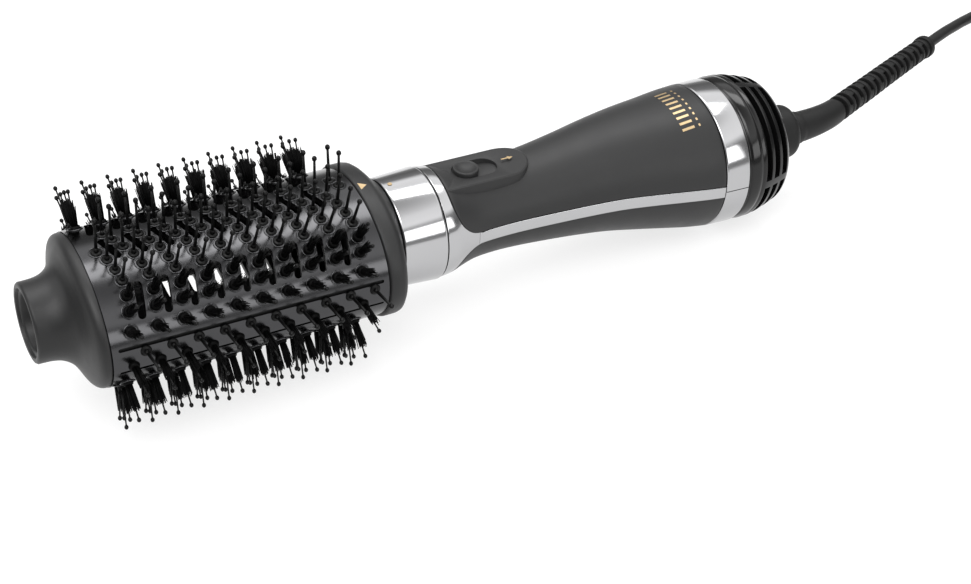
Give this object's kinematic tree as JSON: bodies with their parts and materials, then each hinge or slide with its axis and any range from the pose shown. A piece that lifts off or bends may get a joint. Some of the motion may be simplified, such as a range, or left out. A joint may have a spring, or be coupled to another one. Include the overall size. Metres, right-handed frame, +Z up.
{
  "type": "hot air brush",
  "caption": "Corded hot air styling brush with a detachable oval bristle head, a waisted handle with a blower and heater, a sliding switch and a swivelling cord.",
  "frame": {"origin": "centre of the box under the tool, without its cord, on the surface that it lies on", "axes": "+Z up, +X along the tool from the nose to the cord, -Y the near side"},
  "size_m": [0.5949, 0.1483, 0.0877],
  "materials": {
    "soft_touch_grey": "soft-touch matt dark grey",
    "dark_metal": "glossy gunmetal",
    "black_nylon": "satin black nylon",
    "bright_trim": "bright plated",
    "gloss_black": "high gloss black",
    "black_rubber": "matt flexible black",
    "inner_plastic": "plain moulded",
    "mica": "layered mica",
    "wire": "drawn wire",
    "steel": "machined",
    "board_green": "lacquered board",
    "blade_brass": "bright brass",
    "button_blue": "gloss",
    "button_red": "gloss",
    "ceramic": "white ceramic"
  },
  "bodies": {
    "handle": {"front_yoke": "bright_trim", "head_socket": "inner_plastic", "top_shell": "soft_touch_grey", "bottom_shell": "soft_touch_grey", "slide_switch": "inner_plastic", "heater_tube": "mica", "heater_frame": "mica", "heater_coils": "wire", "thermal_cutoff": "steel", "ion_emitter": "ceramic", "circuit_board": "board_green", "motor": "steel", "motor_mount": "inner_plastic", "rear_ring_top": "bright_trim", "rear_ring_bottom": "bright_trim", "inlet_grille": "gloss_black", "inlet_filter": "black_nylon", "shell_screws": "steel"},
    "head": {"nose_cap": "soft_touch_grey", "barrel_sheet": "dark_metal", "bristle_core_top": "black_nylon", "bristle_core_bottom": "black_nylon", "pins_top": "black_nylon", "pins_bottom": "black_nylon", "tufts_near_top": "black_nylon", "tufts_far_top": "black_nylon", "tufts_near_bottom": "black_nylon", "tufts_far_bottom": "black_nylon", "rear_flange": "soft_touch_grey", "spigot": "black_nylon", "air_spreader": "black_nylon"},
    "lock_ring": {"lock_collar": "bright_trim"},
    "switch": {"switch_knob": "soft_touch_grey"},
    "fan": {"impeller": "inner_plastic", "motor_shaft": "steel"},
    "cord": {"swivel_gland": "black_rubber", "strain_relief": "black_rubber", "cord_lead": "black_rubber", "cord_coil": "black_rubber", "cord_tail": "black_rubber", "plug_relief": "black_rubber", "plug_body": "gloss_black", "plug_blades": "blade_brass"},
    "test": {"test_button": "button_blue"},
    "reset": {"reset_button": "button_red"}
  },
  "joints": [
    {"name": "lock_turn", "type": "hinge", "parent": "handle", "child": "lock_ring", "pos_m": [-0.01742, 0, 0.03974], "axis": [0.9983, 0, -0.0576], "range_deg": [0, 30]},
    {"name": "head_pull", "type": "slide", "parent": "handle", "child": "head", "axis": [-0.9983, 0, 0.0576], "range_m": [0, 0.06]},
    {"name": "switch_slide", "type": "slide", "parent": "handle", "child": "switch", "axis": [0.9983, 0, -0.0576], "range_m": [0, 0.0076]},
    {"name": "fan_spin", "type": "hinge", "parent": "handle", "child": "fan", "pos_m": [0.10588, 0, 0.03263], "axis": [0.9983, 0, -0.0576], "continuous": true},
    {"name": "cord_swivel", "type": "hinge", "parent": "handle", "child": "cord", "pos_m": [0.1516, 0, 0.02999], "axis": [0.9983, 0, -0.0576], "continuous": true},
    {"name": "test_press", "type": "slide", "parent": "cord", "child": "test", "axis": [0, 0, -1], "range_m": [0, 0.0014], "stiffness_N_per_m": 300, "springref_m": -0.0008},
    {"name": "reset_press", "type": "slide", "parent": "cord", "child": "reset", "axis": [0, 0, -1], "range_m": [0, 0.0014], "stiffness_N_per_m": 300, "springref_m": -0.0008}
  ]
}
